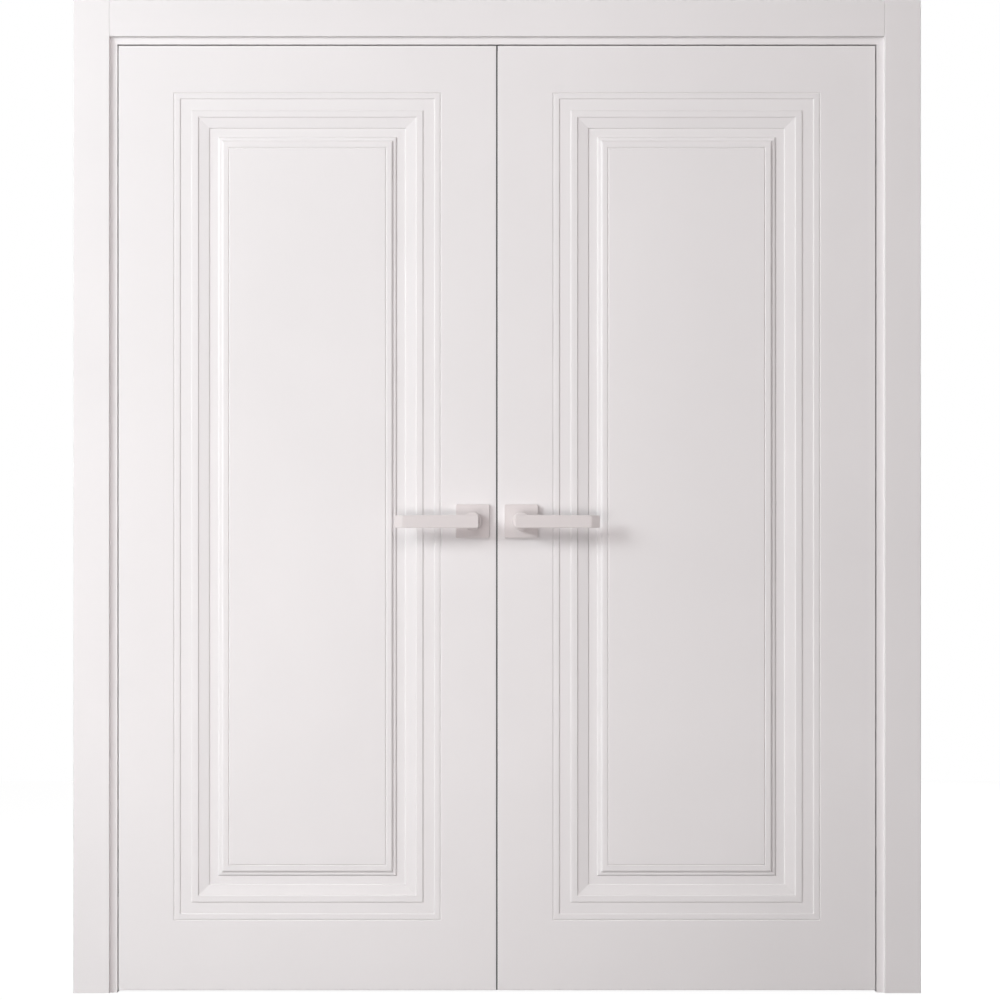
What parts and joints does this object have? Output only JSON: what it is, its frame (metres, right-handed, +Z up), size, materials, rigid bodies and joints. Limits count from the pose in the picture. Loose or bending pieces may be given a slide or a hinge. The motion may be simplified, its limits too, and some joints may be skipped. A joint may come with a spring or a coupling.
{
  "type": "double-leaf interior door set",
  "caption": "Panelled white double door hung in a cased timber frame on concealed hinges, with lever handles, a magnetic latch and flush bolts.",
  "frame": {"origin": "on the floor, below the middle of the meeting gap, at the leaves' mid-thickness", "axes": "+X to the right seen from the pull side, +Y towards the stop side, +Z up"},
  "size_m": [1.793, 0.156, 2.1005],
  "materials": {
    "enamelled_mdf": "satin white enamel",
    "enamelled_frame": "satin white enamel",
    "rubber_seal": "matt black",
    "lacquered_alloy": "matt warm grey lacquer",
    "hinge_alloy": "satin",
    "link_steel": "ground",
    "zinc_plated_steel": "satin",
    "black_plastic": "moulded",
    "magnet": "sintered"
  },
  "bodies": {
    "frame": {"head_front_casing": "enamelled_frame", "head_jamb": "enamelled_frame", "head_jamb_seal": "rubber_seal", "head_rear_casing": "enamelled_frame", "left_front_casing": "enamelled_frame", "left_jamb": "enamelled_frame", "left_jamb_seal": "rubber_seal", "left_lower_frame_cup": "hinge_alloy", "left_rear_casing": "enamelled_frame", "left_upper_frame_cup": "hinge_alloy", "right_front_casing": "enamelled_frame", "right_jamb": "enamelled_frame", "right_jamb_seal": "rubber_seal", "right_lower_frame_cup": "hinge_alloy", "right_rear_casing": "enamelled_frame", "right_upper_frame_cup": "hinge_alloy", "frame_screws": "zinc_plated_steel", "head_bolt_keep": "zinc_plated_steel"},
    "left_door": {"left_leaf": "enamelled_mdf", "left_lower_leaf_cup": "hinge_alloy", "left_upper_leaf_cup": "hinge_alloy", "left_hinge_screws": "zinc_plated_steel", "left_front_rose": "lacquered_alloy", "left_rear_rose": "lacquered_alloy", "left_rose_plates": "zinc_plated_steel", "left_rose_bolts": "zinc_plated_steel", "meeting_seal": "rubber_seal", "strike_plate": "zinc_plated_steel", "strike_box": "black_plastic", "strike_magnet": "magnet", "edge_screws": "zinc_plated_steel", "upper_bolt_plate": "zinc_plated_steel", "lower_bolt_plate": "zinc_plated_steel"},
    "right_door": {"right_leaf": "enamelled_mdf", "right_lower_leaf_cup": "hinge_alloy", "right_upper_leaf_cup": "hinge_alloy", "right_hinge_screws": "zinc_plated_steel", "right_front_rose": "lacquered_alloy", "right_rear_rose": "lacquered_alloy", "right_rose_plates": "zinc_plated_steel", "right_rose_bolts": "zinc_plated_steel", "latch_case": "zinc_plated_steel", "latch_forend": "zinc_plated_steel", "forend_screws": "zinc_plated_steel"},
    "left_links": {"left_lower_hinge_link": "link_steel", "left_upper_hinge_link": "link_steel"},
    "right_links": {"right_lower_hinge_link": "link_steel", "right_upper_hinge_link": "link_steel"},
    "left_handle": {"left_front_lever": "lacquered_alloy", "left_rear_lever": "lacquered_alloy", "left_spindle": "zinc_plated_steel", "left_grub_screws": "zinc_plated_steel"},
    "right_handle": {"right_front_lever": "lacquered_alloy", "right_rear_lever": "lacquered_alloy", "right_spindle": "zinc_plated_steel", "right_grub_screws": "zinc_plated_steel", "latch_follower": "zinc_plated_steel"},
    "latch": {"latch_bolt": "zinc_plated_steel"},
    "upper_bolt": {"upper_flush_bolt": "zinc_plated_steel"},
    "lower_bolt": {"lower_flush_bolt": "zinc_plated_steel"}
  },
  "joints": [
    {"name": "left_leaf_swing", "type": "hinge", "parent": "frame", "child": "left_door", "pos_m": [-0.8025, -0.02, 0], "axis": [0, 0, -1], "range_deg": [0, 110]},
    {"name": "right_leaf_swing", "type": "hinge", "parent": "frame", "child": "right_door", "pos_m": [0.8025, -0.02, 0], "axis": [0, 0, 1], "range_deg": [0, 110]},
    {"name": "left_link_swing", "type": "hinge", "parent": "frame", "child": "left_links", "pos_m": [-0.8025, -0.02, 0], "axis": [0, 0, -1], "range_deg": [0, 55]},
    {"name": "right_link_swing", "type": "hinge", "parent": "frame", "child": "right_links", "pos_m": [0.8025, -0.02, 0], "axis": [0, 0, 1], "range_deg": [0, 55]},
    {"name": "left_handle_turn", "type": "hinge", "parent": "left_door", "child": "left_handle", "pos_m": [-0.0515, 0, 0.998], "axis": [0, -1, 0], "range_deg": [0, 35], "stiffness_Nm_per_rad": 0.8, "springref_deg": -51.57},
    {"name": "right_handle_turn", "type": "hinge", "parent": "right_door", "child": "right_handle", "pos_m": [0.0515, 0, 0.998], "axis": [0, 1, 0], "range_deg": [0, 35], "stiffness_Nm_per_rad": 0.8, "springref_deg": -51.57},
    {"name": "latch_slide", "type": "slide", "parent": "right_door", "child": "latch", "axis": [-1, 0, 0], "range_m": [0, 0.009]},
    {"name": "upper_bolt_slide", "type": "slide", "parent": "left_door", "child": "upper_bolt", "axis": [0, 0, 1], "range_m": [0, 0.012]},
    {"name": "lower_bolt_slide", "type": "slide", "parent": "left_door", "child": "lower_bolt", "axis": [0, 0, -1], "range_m": [0, 0.012]}
  ],
  "couplings": [
    {"joint": "left_link_swing", "follows": "left_leaf_swing", "ratio": 0.5},
    {"joint": "right_link_swing", "follows": "right_leaf_swing", "ratio": 0.5}
  ]
}
